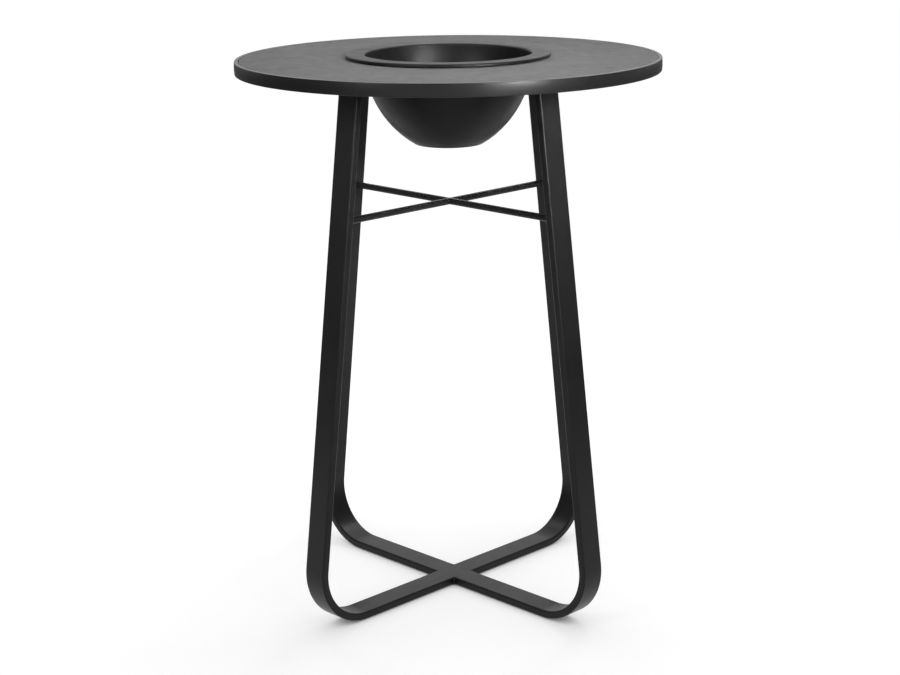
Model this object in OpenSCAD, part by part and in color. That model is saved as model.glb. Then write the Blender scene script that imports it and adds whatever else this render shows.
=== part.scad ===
// Bar-height bistro table with a round top, two crossed leg frames and a lift-out ice bucket.
// Millimetres, +Z up. The origin is on the floor under the middle of the top.
// The leg frames stand in the X-Z plane and in the Y-Z plane.

/* [Table top] */
// Height of the top surface above the floor
top_h = 1050; // [900:5:1150]
// Diameter over the edge band
top_d = 800; // [740:5:1000]
// Height of the edge band
band_h = 24; // [22:1:40]
// Thickness of the edge band
band_t = 8; // [5:0.5:12]
// Thickness of the inlaid panel
panel_t = 10; // [6:0.5:12]
// Width of the shadow groove between the panel and the edge band
groove_w = 1; // [0.5:0.1:3]

/* [Ice bucket] */
// Outside diameter of the bowl at its mouth
mouth_d = 318; // [260:2:330]
// Diameter of the flat base under the bowl
foot_d = 128; // [80:2:160]
// Height of the bucket from its base to the top of its flange
bucket_h = 171; // [140:1:185]
// Thickness of the spun sheet
sheet_t = 2.5; // [1.5:0.1:3]
// Width of the flange, from the outside of the bowl to the outside of the skirt
flange_w = 33; // [26:1:40]
// Height of the flange's top above the table top
flange_rise = 7.5; // [6:0.5:12]
// Gap between the lower edge of the skirt and the table top
skirt_gap = 1.5; // [0.5:0.1:2.5]
// Outside radius of the bend from the flange into the bowl
lip_r = 4; // [3.5:0.1:6]
// Outside radius of the bend from the flange into the skirt
skirt_r = 3.5; // [3.1:0.1:4.4]
// Radial gap between the bowl and the cut-out
cutout_gap = 3; // [1:0.5:6]
// Width of the rubber ring under the flange
seal_w = 8; // [4:0.5:10]
// Radial gap between the rubber ring and the skirt
seal_gap = 4; // [1:0.5:6]

/* [Leg frames] */
// Width of the flat bar
bar_w = 50; // [40:1:60]
// Thickness of the flat bar
bar_t = 15; // [8:0.5:18]
// Outside span of a leg frame at the top of its legs
leg_top_span = 505; // [480:1:560]
// Outside span of a leg frame at its bends
foot_span = 738; // [640:1:780]
// Outside radius of the bends
bend_r = 110; // [60:1:140]
// Leg length of the weld fillets at the floor crossing
weld_leg = 5; // [2:0.5:8]
// Distance of the weld fillets below the upper face of the floor bars
weld_drop = 1; // [0:0.5:4]
// Side clearance of the half-laps
lap_gap = 0.1; // [0.05:0.05:0.5]

/* [Braces] */
// Height of the middle of the braces above the floor
brace_z = 775; // [600:1:820]
// Side of the square brace bar
brace_s = 12; // [6:0.5:16]

/* [Carrier under the panel] */
// Thickness of the rings and spokes
carrier_t = 6; // [5:0.5:8]
// Width of the ledge ring inside the edge band
ledge_w = 36; // [26:1:50]
// Width of the collar ring round the cut-out
collar_w = 30; // [22:1:36]
// Gap that the welds of the carrier close
weld_gap = 0.3; // [0.2:0.05:0.5]
// Diameter of the adhesive pads between the carrier and the panel
pad_d = 20; // [12:1:22]
// Thickness of the adhesive pads
pad_t = 1.5; // [1:0.1:3]
// Pads round the ledge ring
ledge_pads = 12; // [4:4:24]
// Pads round the collar ring
collar_pads = 8; // [4:4:8]
// Length of a leg plate along its spoke
plate_l = 90; // [76:1:110]
// Thickness of a leg plate
plate_t = 5; // [3:0.5:8]
// Distance between the two screws of a leg plate
plate_pitch = 60; // [46:1:64]

/* [Fasteners] */
// Diameter of the screws
screw_d = 6; // [5:0.5:6]
// Diameter of a button head
head_d = 10.5; // [9.5:0.1:12]
// Height of a button head
head_h = 3.3; // [2.8:0.1:4]
// Hexagon socket, across flats
socket_af = 4; // [3:0.5:4]
// Depth of the hexagon socket
socket_depth = 2; // [1.5:0.1:2.4]
// Length of screw inside the tapped spoke
screw_bite = 5; // [4:0.5:5]
// Diametral clearance of the screw holes
hole_clear = 0.6; // [0.3:0.1:1]
// Outside diameter of a washer
washer_d = 12; // [11:0.5:14]
// Thickness of a washer
washer_t = 1.6; // [1:0.1:2]

/* [Glides] */
// Diameter of a glide's head
glide_d = 32; // [20:1:38]
// Thickness of a glide's head
glide_t = 2.5; // [2:0.5:6]
// Diameter of a glide's stem
stem_d = 8; // [6:0.5:10]
// Length of a glide's stem
stem_l = 7; // [4:0.5:7]
// Distance from the start of the bend to the middle of a glide
glide_inset = 20; // [17:1:60]

/* [Hidden] */
$fn = 96;

steel = [0.12, 0.12, 0.13];
slab = [0.22, 0.22, 0.22];
black_rubber = [0.05, 0.05, 0.05];
zinc = [0.62, 0.63, 0.65];

// Cuts run past the faces that they open by this much
past = 1;
// Radial clearance of a screw or a stem in its bore
bore_gap = 0.1;
// Space above a glide's stem in its blind hole
stem_room = 0.5;
// Chamfer on the upper edges of the panel and the lower edge of a glide
edge_cut = 0.5;
// Flats that make up the curve of a bend
bend_flats = 36;

// Levels of the layers, from the top down
panel_under = top_h - panel_t;
carrier_top = panel_under - pad_t;
carrier_under = carrier_top - carrier_t;
plate_under = carrier_under - plate_t;

// Radii of the top
band_in_r = top_d / 2 - band_t;
panel_r = band_in_r - groove_w;
ledge_in_r = band_in_r - ledge_w;
mouth_r = mouth_d / 2;
cutout_r = mouth_r + cutout_gap;
collar_r = cutout_r + collar_w;
ledge_pad_r = (ledge_in_r + panel_r) / 2;
collar_pad_r = cutout_r + collar_w / 2;

// Bucket: the bowl's section is one arc, upright where the lip ends, that meets the edge of the base
flange_r = mouth_r + flange_w;
flange_top = top_h + flange_rise;
base_z = flange_top - bucket_h;
lip_z = flange_top - lip_r;
bowl_inset = mouth_r - foot_d / 2;
bowl_r = (bowl_inset ^ 2 + (lip_z - base_z) ^ 2) / (2 * bowl_inset);
seal_r = flange_r - sheet_t - seal_gap;

// Leg frame: bend centre and the lean of the legs, tangent to the bend from the leg's top
bend_x = foot_span / 2 - bend_r;
bend_z = glide_t + bend_r;
to_top = [leg_top_span / 2 - bend_x, plate_under - bend_z];
lean = atan2(to_top.y, to_top.x) - acos(bend_r / norm(to_top));
leg_mid_r = leg_top_span / 2 - bar_t / cos(lean) / 2;
glide_r = bend_x - glide_inset;
lap_z = glide_t + bar_t / 2;

// Leg plates: over the middle of the leg, and clear of the collar ring
plate_mid_r = max(leg_mid_r, collar_r + weld_gap + plate_l / 2);
plate_screw_r = [plate_mid_r - plate_pitch / 2, plate_mid_r + plate_pitch / 2];

// Distance of a leg's inner face from the middle plane, at a height above the bend
function leg_inner_x(z) = bend_x + (bend_r - bar_t) / cos(lean) - (z - bend_z) * tan(lean);

// Points along a bend at radius r from its middle, from the foot of the leg to the floor bar
function bend_arc(r) = [
    for (n = [0:bend_flats]) let (a = lean - (lean + 90) * n / bend_flats)
        [bend_x + r * cos(a), bend_z + r * sin(a)]
];

// The same points from the last to the first
function reversed(points) = [for (n = [len(points) - 1:-1:0]) points[n]];

// Copies for the four legs
module at_legs() {
    for (n = [0:3]) rotate([0, 0, 90 * n]) children();
}

// Copies round a ring, set half a step away from the spokes
module round_ring(count, r) {
    for (n = [0:count - 1]) rotate([0, 0, (n + 0.5) * 360 / count]) translate([r, 0, 0]) children();
}

// Flat ring from radius a to radius b, standing on level z
module flat_ring(a, b, h, z) {
    translate([0, 0, z]) difference() {
        cylinder(h = h, r = b);
        translate([0, 0, -past]) cylinder(h = h + 2 * past, r = a);
    }
}

// Places of the screws that hold the leg plates
module at_plate_screws() {
    at_legs() for (r = plate_screw_r) translate([r, 0, 0]) children();
}

// Hole of diameter d through a plate h thick that lies on level z
module plain_hole(d, h, z) {
    translate([0, 0, z - past]) cylinder(h = h + 2 * past, d = d);
}

// Table top
module panel() {
    chamfer_z = top_h - edge_cut;
    color(slab) difference() {
        union() {
            translate([0, 0, panel_under]) cylinder(h = panel_t - edge_cut, r = panel_r);
            translate([0, 0, chamfer_z]) cylinder(h = edge_cut, r1 = panel_r, r2 = panel_r - edge_cut);
        }
        plain_hole(2 * cutout_r, panel_t, panel_under);
        translate([0, 0, chamfer_z]) cylinder(h = edge_cut, r1 = cutout_r, r2 = cutout_r + edge_cut);
    }
}

module panel_pads() {
    color(black_rubber) {
        round_ring(ledge_pads, ledge_pad_r) pad();
        round_ring(collar_pads, collar_pad_r) pad();
    }
}

module pad() {
    translate([0, 0, carrier_top]) cylinder(h = pad_t, d = pad_d);
}

module rim_band() {
    color(steel) flat_ring(band_in_r, top_d / 2, band_h, top_h - band_h);
}

module ledge_ring() {
    color(steel) flat_ring(ledge_in_r, band_in_r - weld_gap, carrier_t, carrier_under);
}

module collar_ring() {
    color(steel) flat_ring(cutout_r, collar_r, carrier_t, carrier_under);
}

// Flat bar from the collar ring to the ledge ring, its ends cut to their curves, tapped for the screws
module spoke() {
    color(steel) difference() {
        intersection() {
            translate([0, -bar_w / 2, carrier_under]) cube([ledge_in_r, bar_w, carrier_t]);
            translate([0, 0, carrier_under - past])
                cylinder(h = carrier_t + 2 * past, r = ledge_in_r - weld_gap);
        }
        plain_hole(2 * (collar_r + weld_gap), carrier_t, carrier_under);
        for (r = plate_screw_r) translate([r, 0, 0])
            plain_hole(screw_d + 2 * bore_gap, carrier_t, carrier_under);
    }
}

module spoke_px() { spoke(); }
module spoke_py() { rotate([0, 0, 90]) spoke(); }
module spoke_nx() { rotate([0, 0, 180]) spoke(); }
module spoke_ny() { rotate([0, 0, 270]) spoke(); }

// Leg frames: one flat bar bent to a U, standing in the X-Z plane on its glides
module bent_bar() {
    outside = bend_arc(bend_r);
    inside = bend_arc(bend_r - bar_t);
    top_outside = [leg_top_span / 2, plate_under];
    top_inside = [leg_inner_x(plate_under), plate_under];
    half = concat(reversed(inside), [top_inside, top_outside], outside);
    rotate([90, 0, 0]) linear_extrude(bar_w, center = true)
        polygon(concat(half, [for (p = reversed(half)) [-p.x, p.y]]));
}

// Bores for the stems of the two glides
module stem_holes() {
    for (x = [-glide_r, glide_r]) translate([x, 0, glide_t - past])
        cylinder(h = stem_l + stem_room + past, d = stem_d + 2 * bore_gap);
}

// Half-lap notch of a bar w wide, in the bar that runs along X
module lap_notch(w, z, h) {
    translate([-w / 2 - lap_gap, -w / 2 - past, z]) cube([w + 2 * lap_gap, w + 2 * past, h]);
}

module leg_frame_x() {
    color(steel) difference() {
        bent_bar();
        stem_holes();
        lap_notch(bar_w, lap_z, bar_t);
    }
}

module leg_frame_y() {
    color(steel) rotate([0, 0, 90]) difference() {
        bent_bar();
        stem_holes();
        lap_notch(bar_w, lap_z - bar_t, bar_t);
    }
}

// A fillet in each inner corner of the floor crossing, a little short of the bars' upper face
module crossing_welds() {
    color(steel) at_legs() translate([bar_w / 2, bar_w / 2, glide_t]) linear_extrude(bar_t - weld_drop)
        polygon([[0, 0], [weld_leg, 0], [0, weld_leg]]);
}

module leg_plate() {
    color(steel) difference() {
        translate([plate_mid_r - plate_l / 2, -bar_w / 2, plate_under])
            cube([plate_l, bar_w, plate_t]);
        for (r = plate_screw_r) translate([r, 0, 0])
            plain_hole(screw_d + hole_clear, plate_t, plate_under);
    }
}

module leg_plate_px() { leg_plate(); }
module leg_plate_py() { rotate([0, 0, 90]) leg_plate(); }
module leg_plate_nx() { rotate([0, 0, 180]) leg_plate(); }
module leg_plate_ny() { rotate([0, 0, 270]) leg_plate(); }

// Square bar between two opposite legs, its ends cut to the lean of their inner faces
module brace_bar() {
    low = brace_z - brace_s / 2;
    high = brace_z + brace_s / 2;
    low_x = leg_inner_x(low);
    high_x = leg_inner_x(high);
    rotate([90, 0, 0]) linear_extrude(brace_s, center = true)
        polygon([[-low_x, low], [low_x, low], [high_x, high], [-high_x, high]]);
}

module brace_x() {
    color(steel) difference() {
        brace_bar();
        lap_notch(brace_s, brace_z, brace_s);
    }
}

module brace_y() {
    color(steel) rotate([0, 0, 90]) difference() {
        brace_bar();
        lap_notch(brace_s, brace_z - brace_s, brace_s);
    }
}

// Glides: a flat head with a chamfered edge and a stem pushed into the floor bar
module glide() {
    color(black_rubber) translate([glide_r, 0, 0]) union() {
        cylinder(h = edge_cut, d1 = glide_d - 2 * edge_cut, d2 = glide_d);
        translate([0, 0, edge_cut]) cylinder(h = glide_t - edge_cut, d = glide_d);
        cylinder(h = glide_t + stem_l, d = stem_d);
    }
}

module glide_px() { glide(); }
module glide_py() { rotate([0, 0, 90]) glide(); }
module glide_nx() { rotate([0, 0, 180]) glide(); }
module glide_ny() { rotate([0, 0, 270]) glide(); }

// Button-head screw with its shank upwards, the underside of its head on level z
module button_screw(z, shank) {
    dome_r = (head_d ^ 2 / 4 + head_h ^ 2) / (2 * head_h);
    translate([0, 0, z]) difference() {
        union() {
            cylinder(h = shank, d = screw_d);
            rotate_extrude() intersection() {
                translate([0, dome_r - head_h]) circle(dome_r);
                translate([0, -head_h]) square([head_d / 2, head_h]);
            }
        }
        translate([0, 0, -head_h - past])
            cylinder(h = socket_depth + past, d = socket_af / cos(30), $fn = 6);
    }
}

module leg_screws() {
    color(zinc) at_plate_screws()
        button_screw(plate_under - washer_t, washer_t + plate_t + screw_bite);
}

module leg_washers() {
    color(zinc) at_plate_screws()
        flat_ring(screw_d / 2 + bore_gap, washer_d / 2, washer_t, plate_under - washer_t);
}

// Ice bucket: bowl, flat base, lip, flange and skirt from one sheet
module bowl_2d() {
    intersection() {
        translate([mouth_r - bowl_r, lip_z]) difference() {
            circle(bowl_r, $fn = 240);
            circle(bowl_r - sheet_t, $fn = 240);
        }
        translate([0, base_z]) square([mouth_r, lip_z - base_z]);
    }
}

// Quarter of a bent sheet: outer radius r, upper left quarter of the circle
module bend_quarter_2d(r) {
    intersection() {
        difference() {
            circle(r);
            circle(r - sheet_t);
        }
        translate([-r, 0]) square([r, r]);
    }
}

module ice_bucket() {
    lip_x = mouth_r - sheet_t + lip_r;
    skirt_x = flange_r - skirt_r;
    color(steel) rotate_extrude() union() {
        bowl_2d();
        translate([0, base_z]) square([foot_d / 2, sheet_t]);
        translate([lip_x, lip_z]) bend_quarter_2d(lip_r);
        translate([lip_x, flange_top - sheet_t]) square([skirt_x - lip_x, sheet_t]);
        translate([skirt_x, flange_top - skirt_r]) mirror([1, 0]) bend_quarter_2d(skirt_r);
        translate([flange_r - sheet_t, top_h + skirt_gap])
            square([sheet_t, flange_rise - skirt_r - skirt_gap]);
    }
}

module seal_ring() {
    color(black_rubber) flat_ring(seal_r - seal_w, seal_r, flange_rise - sheet_t, top_h);
}

panel();
panel_pads();
rim_band();
ledge_ring();
collar_ring();
spoke_px();
spoke_py();
spoke_nx();
spoke_ny();
leg_frame_x();
leg_frame_y();
crossing_welds();
leg_plate_px();
leg_plate_py();
leg_plate_nx();
leg_plate_ny();
brace_x();
brace_y();
glide_px();
glide_py();
glide_nx();
glide_ny();
leg_screws();
leg_washers();
ice_bucket();
seal_ring();
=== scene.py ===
"""Bar-height bistro table with a lift-out ice bucket.

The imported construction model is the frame. Each piece takes its place and its outer sizes from the box of
the node that it stands for, and adds what the construction leaves plain: rounded edges, rolled rims, weld
beads, hexagon sockets, and the finish of every surface. Lengths are in metres.
"""

import logging
import math
from collections.abc import Iterable, Mapping, Sequence
from dataclasses import dataclass, field
from enum import Enum

import bmesh
import bpy
from mathutils import Matrix, Vector, noise


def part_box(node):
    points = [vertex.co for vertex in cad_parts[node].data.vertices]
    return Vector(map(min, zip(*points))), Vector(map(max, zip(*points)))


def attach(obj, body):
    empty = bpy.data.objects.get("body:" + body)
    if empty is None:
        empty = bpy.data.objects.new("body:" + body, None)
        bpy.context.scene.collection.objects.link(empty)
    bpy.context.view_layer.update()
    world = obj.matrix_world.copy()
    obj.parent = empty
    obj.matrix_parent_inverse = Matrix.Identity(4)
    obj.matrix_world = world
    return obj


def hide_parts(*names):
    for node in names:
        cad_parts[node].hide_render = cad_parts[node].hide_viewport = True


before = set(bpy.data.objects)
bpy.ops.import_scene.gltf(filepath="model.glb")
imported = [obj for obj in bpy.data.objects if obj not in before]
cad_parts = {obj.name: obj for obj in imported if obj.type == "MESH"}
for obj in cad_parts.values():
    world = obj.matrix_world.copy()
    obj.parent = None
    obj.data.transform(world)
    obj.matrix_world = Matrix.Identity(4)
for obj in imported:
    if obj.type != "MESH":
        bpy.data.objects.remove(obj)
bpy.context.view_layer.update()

MM = 0.001
SHARP_ANGLE = math.radians(32)
WELD_DISTANCE = 1e-7
SCREW_PITCH = 0.060
TINY_ROUND, SMALL_ROUND, FULL_ROUND, WIDE_ROUND = 2, 3, 6, 8  # Flats in a round
HERE = Matrix.Identity(4)
SIDES = ("px", "py", "nx", "ny")
QUARTERS = {side: Matrix.Rotation(math.pi / 2 * index, 4, "Z") for index, side in enumerate(SIDES)}

log = logging.getLogger("bistro_table")

Colour = tuple[float, float, float]
Outline = list[Vector]
Ring = list[Vector]
Source = bpy.types.NodeSocket
Value = float | tuple[float, ...] | Source


class Body(Enum):
    """Bodies that pieces ride on."""

    TABLE = "table"
    BUCKET = "bucket"


class Slot(Enum):
    """Material slots of the record."""

    FRAME_COAT = "frame_coat"
    BUCKET_COAT = "bucket_coat"
    SLAB = "slab"
    RUBBER = "rubber"
    GLIDE = "glide_plastic"
    ZINC = "screw_zinc"


class Notch(Enum):
    """Side of a bar that its half-lap is cut from."""

    ABOVE = "above"
    BELOW = "below"


LAPPED_PAIR = (("x", Notch.ABOVE, QUARTERS["px"]), ("y", Notch.BELOW, QUARTERS["py"]))


# Outlines


@dataclass(frozen=True)
class Corner:
    """A corner of an outline.

    Attributes:
        x: First coordinate.
        y: Second coordinate.
        radius: Radius of the round, or 0 for a sharp corner.
        steps: Flats in the round.
    """

    x: float
    y: float
    radius: float = 0.0
    steps: int = FULL_ROUND


def turned(arm: Vector, angle: float) -> Vector:
    """Turns a flat vector by an angle in radians."""
    cos, sin = math.cos(angle), math.sin(angle)
    return Vector((arm.x * cos - arm.y * sin, arm.x * sin + arm.y * cos))


def rounded(corners: Sequence[Corner]) -> Outline:
    """Makes a closed outline with a round at each corner.

    Args:
        corners: The corners in order, either way round.

    Returns:
        The points of the outline.
    """
    points: Outline = []
    for index, corner in enumerate(corners):
        here = Vector((corner.x, corner.y))
        if corner.radius <= 0:
            points.append(here)
            continue
        before, after = corners[index - 1], corners[(index + 1) % len(corners)]
        back = (Vector((before.x, before.y)) - here).normalized()
        ahead = (Vector((after.x, after.y)) - here).normalized()
        half = back.angle(ahead) / 2
        centre = here + (back + ahead).normalized() * corner.radius / math.sin(half)
        arm = here + back * corner.radius / math.tan(half) - centre
        turn = math.pi - 2 * half
        if back.cross(ahead) > 0:
            turn = -turn
        for step in range(corner.steps + 1):
            points.append(centre + turned(arm, turn * step / corner.steps))
    return points


def rectangle(low: Sequence[float], high: Sequence[float], radius: float, steps: int = FULL_ROUND) -> Outline:
    """Makes the anticlockwise outline of a rectangle between two corners, with all its corners rounded."""
    places = ((low[0], low[1]), (high[0], low[1]), (high[0], high[1]), (low[0], high[1]))
    return rounded([Corner(x, y, radius, steps) for x, y in places])


def inset(outline: Outline, distance: float) -> Outline:
    """Moves an outline inwards.

    Args:
        outline: Points that run anticlockwise.
        distance: How far each side moves.

    Returns:
        As many points, moved.
    """
    least = 0.2
    moved: Outline = []
    for before, here, after in zip(outline[-1:] + outline[:-1], outline, outline[1:] + outline[:1]):
        side_in = turned((here - before).normalized(), math.pi / 2)
        side_out = turned((after - here).normalized(), math.pi / 2)
        middle = (side_in + side_out).normalized()
        moved.append(here + middle * distance / max(middle.dot(side_in), least))
    return moved


def arc_points(radius: float, start: float, end: float, steps: int) -> Outline:
    """Makes points on a circle about the origin from one angle to another, one more than there are steps."""
    angles = [start + (end - start) * step / steps for step in range(steps + 1)]
    return [Vector((radius * math.cos(angle), radius * math.sin(angle))) for angle in angles]


@dataclass(frozen=True)
class Room:
    """The box that a node of the construction model fills.

    Attributes:
        low: Lowest corner.
        high: Highest corner.
    """

    low: Vector
    high: Vector

    @classmethod
    def of(cls, node: str) -> "Room":
        """Reads the box of a node."""
        low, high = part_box(node)
        return cls(low, high)

    @property
    def radius(self) -> float:
        """Outer radius of a round node about the middle of the table."""
        return self.high.x

    @property
    def middle(self) -> Vector:
        """Centre of the box."""
        return (self.low + self.high) / 2


def screw_lines() -> list[float]:
    """Gives how far the two screws of the leg on the +X side are from the middle of the table."""
    middle = Room.of("leg_plate_px").middle.x
    return [middle - SCREW_PITCH / 2, middle + SCREW_PITCH / 2]


# Meshes


def linked(name: str, data: bpy.types.ID) -> bpy.types.Object:
    """Makes an object of its data and links it to the scene.

    Args:
        name: Name of the object.
        data: Its mesh, lamp or camera.

    Returns:
        The object.
    """
    made = bpy.data.objects.new(name, data)
    bpy.context.scene.collection.objects.link(made)
    return made


@dataclass
class Shape:
    """A mesh in the making.

    Attributes:
        mesh: The mesh that the methods add to.
    """

    mesh: bmesh.types.BMesh = field(default_factory=bmesh.new)

    @classmethod
    def lathed(cls, outline: Outline, segments: int, places: Iterable[Matrix] = (HERE,)) -> "Shape":
        """Turns a closed outline about the Z axis.

        Args:
            outline: Points of radius and height.
            segments: Flats round the axis.
            places: Where the turned form goes, as often as it is made.

        Returns:
            The shape.
        """
        rings = []
        for index in range(segments):
            angle = math.tau * index / segments
            cos, sin = math.cos(angle), math.sin(angle)
            rings.append([Vector((point.x * cos, point.x * sin, point.y)) for point in outline])
        made = cls()
        for place in places:
            made.skin(rings, loop=True, place=place)
        return made

    @classmethod
    def plate(
        cls, outline: Outline, room: Room, edge: float, holes: Iterable[float], radius: float, place: Matrix
    ) -> "Shape":
        """Makes a flat plate with rounded edges and holes.

        Args:
            outline: Its outline, anticlockwise.
            room: Box of the plate, for its two levels.
            edge: Radius of its edges.
            holes: Where the holes are along X.
            radius: Radius of the holes.
            place: Where the plate goes.

        Returns:
            The shape.
        """
        steps, sides = 3, 24
        low, high = room.low.z, room.high.z
        levels = []
        for step in range(steps + 1):
            angle = math.pi / 2 * step / steps
            levels.append((edge * (1 - math.sin(angle)), low + edge * (1 - math.cos(angle))))
        levels += [(depth, low + high - level) for depth, level in reversed(levels)]
        made = cls()
        rings = [[Vector((p.x, p.y, level)) for p in inset(outline, depth)] for depth, level in levels]
        walls = [made.skin(rings, caps=False, place=place)]
        for along in holes:
            circle = [point + Vector((along, 0)) for point in arc_points(radius, 0, math.tau, sides)[:-1]]
            rings = [[Vector((p.x, p.y, level)) for p in circle] for level in (low, high)]
            walls.append(made.skin(rings, caps=False, place=place))
        for end in (0, -1):
            edges = []
            for wall in walls:
                ring = wall[end]
                edges += [made.mesh.edges.get((a, b)) for a, b in zip(ring, ring[1:] + ring[:1])]
            bmesh.ops.triangle_fill(made.mesh, use_beauty=True, edges=edges)
        return made

    def skin(
        self, rings: Sequence[Ring], loop: bool = False, caps: bool = True, place: Matrix = HERE
    ) -> list[list[bmesh.types.BMVert]]:
        """Joins closed rings of as many points each with faces.

        Args:
            rings: The rings in order.
            loop: Joins the last ring to the first.
            caps: Closes the two ends where the rings form no loop.
            place: Where the rings go.

        Returns:
            The vertices of each ring.
        """
        made = [[self.mesh.verts.new(place @ point) for point in ring] for ring in rings]
        count = len(made[0])
        for index in range(len(made) if loop else len(made) - 1):
            near, far = made[index], made[(index + 1) % len(made)]
            for k in range(count):
                after = (k + 1) % count
                self.mesh.faces.new((near[k], near[after], far[after], far[k]))
        if caps and not loop:
            self.mesh.faces.new(made[0][::-1])
            self.mesh.faces.new(made[-1])
        return made

    def piece(self, name: str) -> bpy.types.Object:
        """Makes an object of the mesh, with smooth rounds and crisp edges.

        Args:
            name: Name of the object.

        Returns:
            The object, linked to the scene.
        """
        bmesh.ops.remove_doubles(self.mesh, verts=self.mesh.verts, dist=WELD_DISTANCE)
        bmesh.ops.recalc_face_normals(self.mesh, faces=self.mesh.faces)
        data = bpy.data.meshes.new(name)
        self.mesh.to_mesh(data)
        self.mesh.free()
        data.shade_smooth()
        data.set_sharp_from_angle(angle=SHARP_ANGLE)
        made = linked(name, data)
        made.modifiers.new("even_normals", "WEIGHTED_NORMAL").keep_sharp = True
        return made


@dataclass(frozen=True)
class Weld:
    """A weld bead with its ripples.

    Attributes:
        radius: Radius of the bead.
        step: Distance between its rings, about.
        off: How far its middle is off the corner that it fills, as a share of its radius.
        sides: Flats round it.
        pitch: Distance between its ripples.
        ripple: How deep they are, as a share of its radius.
        wander: How much its radius wanders, as a share.
        wave: Length over which it wanders.
    """

    radius: float
    step: float
    off: float = 0.0
    sides: int = 12
    pitch: float = 1.7 * MM
    ripple: float = 0.1
    wander: float = 0.06
    wave: float = 4 * MM

    @property
    def shift(self) -> float:
        """Distance of its middle off the corner that it fills."""
        return self.radius * self.off

    def line(self, start: Vector, end: Vector) -> Ring:
        """Makes points along a straight bead."""
        count = max(2, round((end - start).length / self.step))
        return [start.lerp(end, index / count) for index in range(count + 1)]

    def arc(self, radius: float, level: float, middle: float, length: float) -> Ring:
        """Makes points along a level bead that is bent about the middle of the table.

        Args:
            radius: Radius of the bend.
            level: Its height.
            middle: Angle of its middle, in radians.
            length: Its length.

        Returns:
            The points.
        """
        half = length / radius / 2
        flat = arc_points(radius, middle - half, middle + half, max(2, round(length / self.step)))
        return [Vector((point.x, point.y, level)) for point in flat]

    def rings(self, path: Ring, seed: int) -> list[Ring]:
        """Makes the rings of the bead.

        Args:
            path: Points along its middle.
            seed: Sets how it wanders.

        Returns:
            The rings.
        """
        rings: list[Ring] = []
        blunt, upright = 0.02, 0.1
        gone = 0.0
        whole = sum((b - a).length for a, b in zip(path, path[1:]))
        turns = [math.tau * k / self.sides for k in range(self.sides)]
        for index, point in enumerate(path):
            ahead = (path[min(index + 1, len(path) - 1)] - path[max(index - 1, 0)]).normalized()
            side = ahead.cross(Vector((0, 0, 1)))
            side = side.normalized() if side.length >= upright else Vector((1, 0, 0))
            up = side.cross(ahead)
            if index:
                gone += (point - path[index - 1]).length
            from_end = min(gone, whole - gone)
            dome = math.sqrt(max(blunt, 1 - max(0.0, 1 - from_end / self.radius) ** 2))
            wander = self.wander * noise.noise(Vector((gone / self.wave, seed, 0)))
            reach = self.radius * dome * (1 - self.ripple * (gone / self.pitch % 1) + wander)
            rings.append([point + (side * math.cos(turn) + up * math.sin(turn)) * reach for turn in turns])
        return rings


# Finishes


class NodeSheet:
    """The nodes of a material or of the world, with short ways to add to them."""

    def __init__(self, owner: bpy.types.Material | bpy.types.World) -> None:
        """Clears the nodes.

        Args:
            owner: The material or the world.
        """
        owner.use_nodes = True
        self.tree = owner.node_tree
        self.tree.nodes.clear()
        self.end = self.tree.nodes.new(f"ShaderNodeOutput{type(owner).__name__}")
        self.places = self.tree.nodes.new("ShaderNodeTexCoord").outputs

    def add(
        self, kind: str, inputs: Mapping[str | int, Value | None] | None = None, output: str | int = 0,
        **settings: str | int,
    ) -> Source:
        """Adds a node.

        Args:
            kind: Its type, without the words that all of them start with.
            inputs: What goes into its sockets. A socket with None is left as it is.
            output: Name or number of its output.
            settings: Its other settings.

        Returns:
            The output's socket.
        """
        node = self.tree.nodes.new(f"ShaderNode{kind}")
        for name, setting in settings.items():
            setattr(node, name, setting)
        for key, value in (inputs or {}).items():
            socket = node.inputs[key]
            if isinstance(value, Source):
                self.tree.links.new(value, socket)
            elif value is not None:
                socket.default_value = (*value, 1) if socket.type == "RGBA" else value
        return node.outputs[output]

    def show(self, source: Source) -> None:
        """Links a shader to the surface."""
        self.tree.links.new(source, self.end.inputs["Surface"])

    def calculate(self, operation: str, *terms: float | Source) -> Source:
        """Adds a calculation."""
        return self.add("Math", dict(enumerate(terms)), operation=operation)

    def clouds(
        self, size: float, detail: float = 2.0, warp: float = 0.0, stretch: tuple[float, ...] | None = None
    ) -> Source:
        """Adds a soft noise.

        Args:
            size: Size of its patches.
            detail: Octaves of finer noise in it.
            warp: How far its patches are pulled about.
            stretch: Scale of the patches' places along X, Y and Z.

        Returns:
            The socket with the noise, about 0.5 in the middle.
        """
        place = self.places["Object"]
        if stretch:
            place = self.add("Mapping", {"Scale": stretch, "Vector": place})
        inputs = {"Scale": 1 / size, "Detail": detail, "Distortion": warp, "Vector": place}
        return self.add("TexNoise", inputs)

    def levels(self, source: Source, low: float, high: float, start: float = 0.3, end: float = 0.7) -> Source:
        """Spreads a noise over a range of values, low where the noise is at its start and high at its end."""
        return self.add("MapRange", dict(enumerate((source, start, end, low, high))))

    def blend(
        self, share: float | Source, first: Colour | Source, second: Colour | Source, kind: str = "MIX"
    ) -> Source:
        """Mixes two colours, where the share says how much of the second one shows."""
        inputs = {0: share, 6: first, 7: second}
        return self.add("Mix", inputs, output=2, data_type="RGBA", blend_type=kind)

    def relief(self, *layers: tuple[Source, float]) -> Source | None:
        """Adds bumps, each layer on the one before it.

        Args:
            layers: The height of each layer as a noise, and how deep it is.

        Returns:
            The socket with the normal.
        """
        under = None
        for height, depth in layers:
            under = self.add("Bump", {"Strength": 1.0, "Distance": depth, "Height": height, "Normal": under})
        return under


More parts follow.
